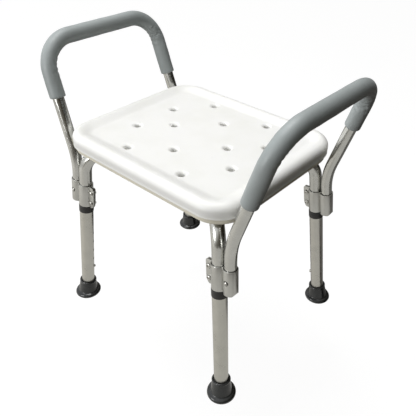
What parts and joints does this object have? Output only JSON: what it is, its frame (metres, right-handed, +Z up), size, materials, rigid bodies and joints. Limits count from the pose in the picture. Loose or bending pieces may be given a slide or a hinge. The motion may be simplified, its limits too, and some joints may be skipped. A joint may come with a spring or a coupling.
{
  "type": "shower stool",
  "caption": "Shower stool: rounded rectangular seat with drain holes on crossed tubes, telescoping legs with snap buttons and rubber feet, and foam-padded side arms.",
  "frame": {"origin": "centre of the stool's footprint, on the floor", "axes": "+Z up; +X towards the right arm and -X towards the left arm; -Y is the front edge of the seat"},
  "size_m": [0.5833, 0.4124, 0.5973],
  "materials": {
    "seat_plastic": "white moulded plastic, satin",
    "leg_aluminium": "satin anodised",
    "frame_aluminium": "semi-bright anodised",
    "bracket_aluminium": "extruded, satin anodised",
    "foam": "soft grey foam, matte",
    "black_plastic": "black, satin",
    "foot_rubber": "black, semi-gloss",
    "screw_steel": "bright plated"
  },
  "bodies": {
    "frame": {"seat": "seat_plastic", "cross_tube_straight": "frame_aluminium", "cross_tube_dipped": "frame_aluminium", "centre_bolt": "screw_steel", "arm_tube_left": "frame_aluminium", "arm_tube_right": "frame_aluminium", "arm_grip_left": "foam", "arm_grip_right": "foam", "seat_screw_front_left": "screw_steel", "bracket_front_left": "bracket_aluminium", "clamp_screw_front_left_lower": "screw_steel", "clamp_screw_front_left_upper": "screw_steel", "clamp_nut_front_left_lower": "screw_steel", "clamp_nut_front_left_upper": "screw_steel", "seat_screw_front_right": "screw_steel", "bracket_front_right": "bracket_aluminium", "clamp_screw_front_right_lower": "screw_steel", "clamp_screw_front_right_upper": "screw_steel", "clamp_nut_front_right_lower": "screw_steel", "clamp_nut_front_right_upper": "screw_steel", "seat_screw_back_left": "screw_steel", "bracket_back_left": "bracket_aluminium", "clamp_screw_back_left_lower": "screw_steel", "clamp_screw_back_left_upper": "screw_steel", "clamp_nut_back_left_lower": "screw_steel", "clamp_nut_back_left_upper": "screw_steel", "seat_screw_back_right": "screw_steel", "bracket_back_right": "bracket_aluminium", "clamp_screw_back_right_lower": "screw_steel", "clamp_screw_back_right_upper": "screw_steel", "clamp_nut_back_right_lower": "screw_steel", "clamp_nut_back_right_upper": "screw_steel"},
    "leg_front_left": {"lower_leg_front_left": "leg_aluminium", "leg_collar_front_left": "black_plastic", "foot_front_left": "foot_rubber"},
    "leg_catch_front_left": {"leg_button_front_left": "screw_steel"},
    "arm_catch_front_left": {"arm_button_front_left": "screw_steel"},
    "leg_front_right": {"lower_leg_front_right": "leg_aluminium", "leg_collar_front_right": "black_plastic", "foot_front_right": "foot_rubber"},
    "leg_catch_front_right": {"leg_button_front_right": "screw_steel"},
    "arm_catch_front_right": {"arm_button_front_right": "screw_steel"},
    "leg_back_left": {"lower_leg_back_left": "leg_aluminium", "leg_collar_back_left": "black_plastic", "foot_back_left": "foot_rubber"},
    "leg_catch_back_left": {"leg_button_back_left": "screw_steel"},
    "arm_catch_back_left": {"arm_button_back_left": "screw_steel"},
    "leg_back_right": {"lower_leg_back_right": "leg_aluminium", "leg_collar_back_right": "black_plastic", "foot_back_right": "foot_rubber"},
    "leg_catch_back_right": {"leg_button_back_right": "screw_steel"},
    "arm_catch_back_right": {"arm_button_back_right": "screw_steel"}
  },
  "joints": [
    {"name": "leg_slide_front_left", "type": "slide", "parent": "frame", "child": "leg_front_left", "axis": [-0.0983, -0.081, -0.9919], "range_m": [0, 0.1524]},
    {"name": "leg_catch_press_front_left", "type": "slide", "parent": "frame", "child": "leg_catch_front_left", "axis": [-0.7656, -0.6306, 0.1274], "range_m": [0, 0.0052], "stiffness_N_per_m": 800},
    {"name": "arm_catch_press_front_left", "type": "slide", "parent": "frame", "child": "arm_catch_front_left", "axis": [0, 0.9967, -0.0814], "range_m": [0, 0.0047], "stiffness_N_per_m": 800},
    {"name": "leg_slide_front_right", "type": "slide", "parent": "frame", "child": "leg_front_right", "axis": [0.0983, -0.081, -0.9919], "range_m": [0, 0.1524]},
    {"name": "leg_catch_press_front_right", "type": "slide", "parent": "frame", "child": "leg_catch_front_right", "axis": [0.7656, -0.6306, 0.1274], "range_m": [0, 0.0052], "stiffness_N_per_m": 800},
    {"name": "arm_catch_press_front_right", "type": "slide", "parent": "frame", "child": "arm_catch_front_right", "axis": [0, 0.9967, -0.0814], "range_m": [0, 0.0047], "stiffness_N_per_m": 800},
    {"name": "leg_slide_back_left", "type": "slide", "parent": "frame", "child": "leg_back_left", "axis": [-0.0983, 0.081, -0.9919], "range_m": [0, 0.1524]},
    {"name": "leg_catch_press_back_left", "type": "slide", "parent": "frame", "child": "leg_catch_back_left", "axis": [-0.7656, 0.6306, 0.1274], "range_m": [0, 0.0052], "stiffness_N_per_m": 800},
    {"name": "arm_catch_press_back_left", "type": "slide", "parent": "frame", "child": "arm_catch_back_left", "axis": [0, -0.9967, -0.0814], "range_m": [0, 0.0047], "stiffness_N_per_m": 800},
    {"name": "leg_slide_back_right", "type": "slide", "parent": "frame", "child": "leg_back_right", "axis": [0.0983, 0.081, -0.9919], "range_m": [0, 0.1524]},
    {"name": "leg_catch_press_back_right", "type": "slide", "parent": "frame", "child": "leg_catch_back_right", "axis": [0.7656, 0.6306, 0.1274], "range_m": [0, 0.0052], "stiffness_N_per_m": 800},
    {"name": "arm_catch_press_back_right", "type": "slide", "parent": "frame", "child": "arm_catch_back_right", "axis": [0, -0.9967, -0.0814], "range_m": [0, 0.0047], "stiffness_N_per_m": 800}
  ]
}
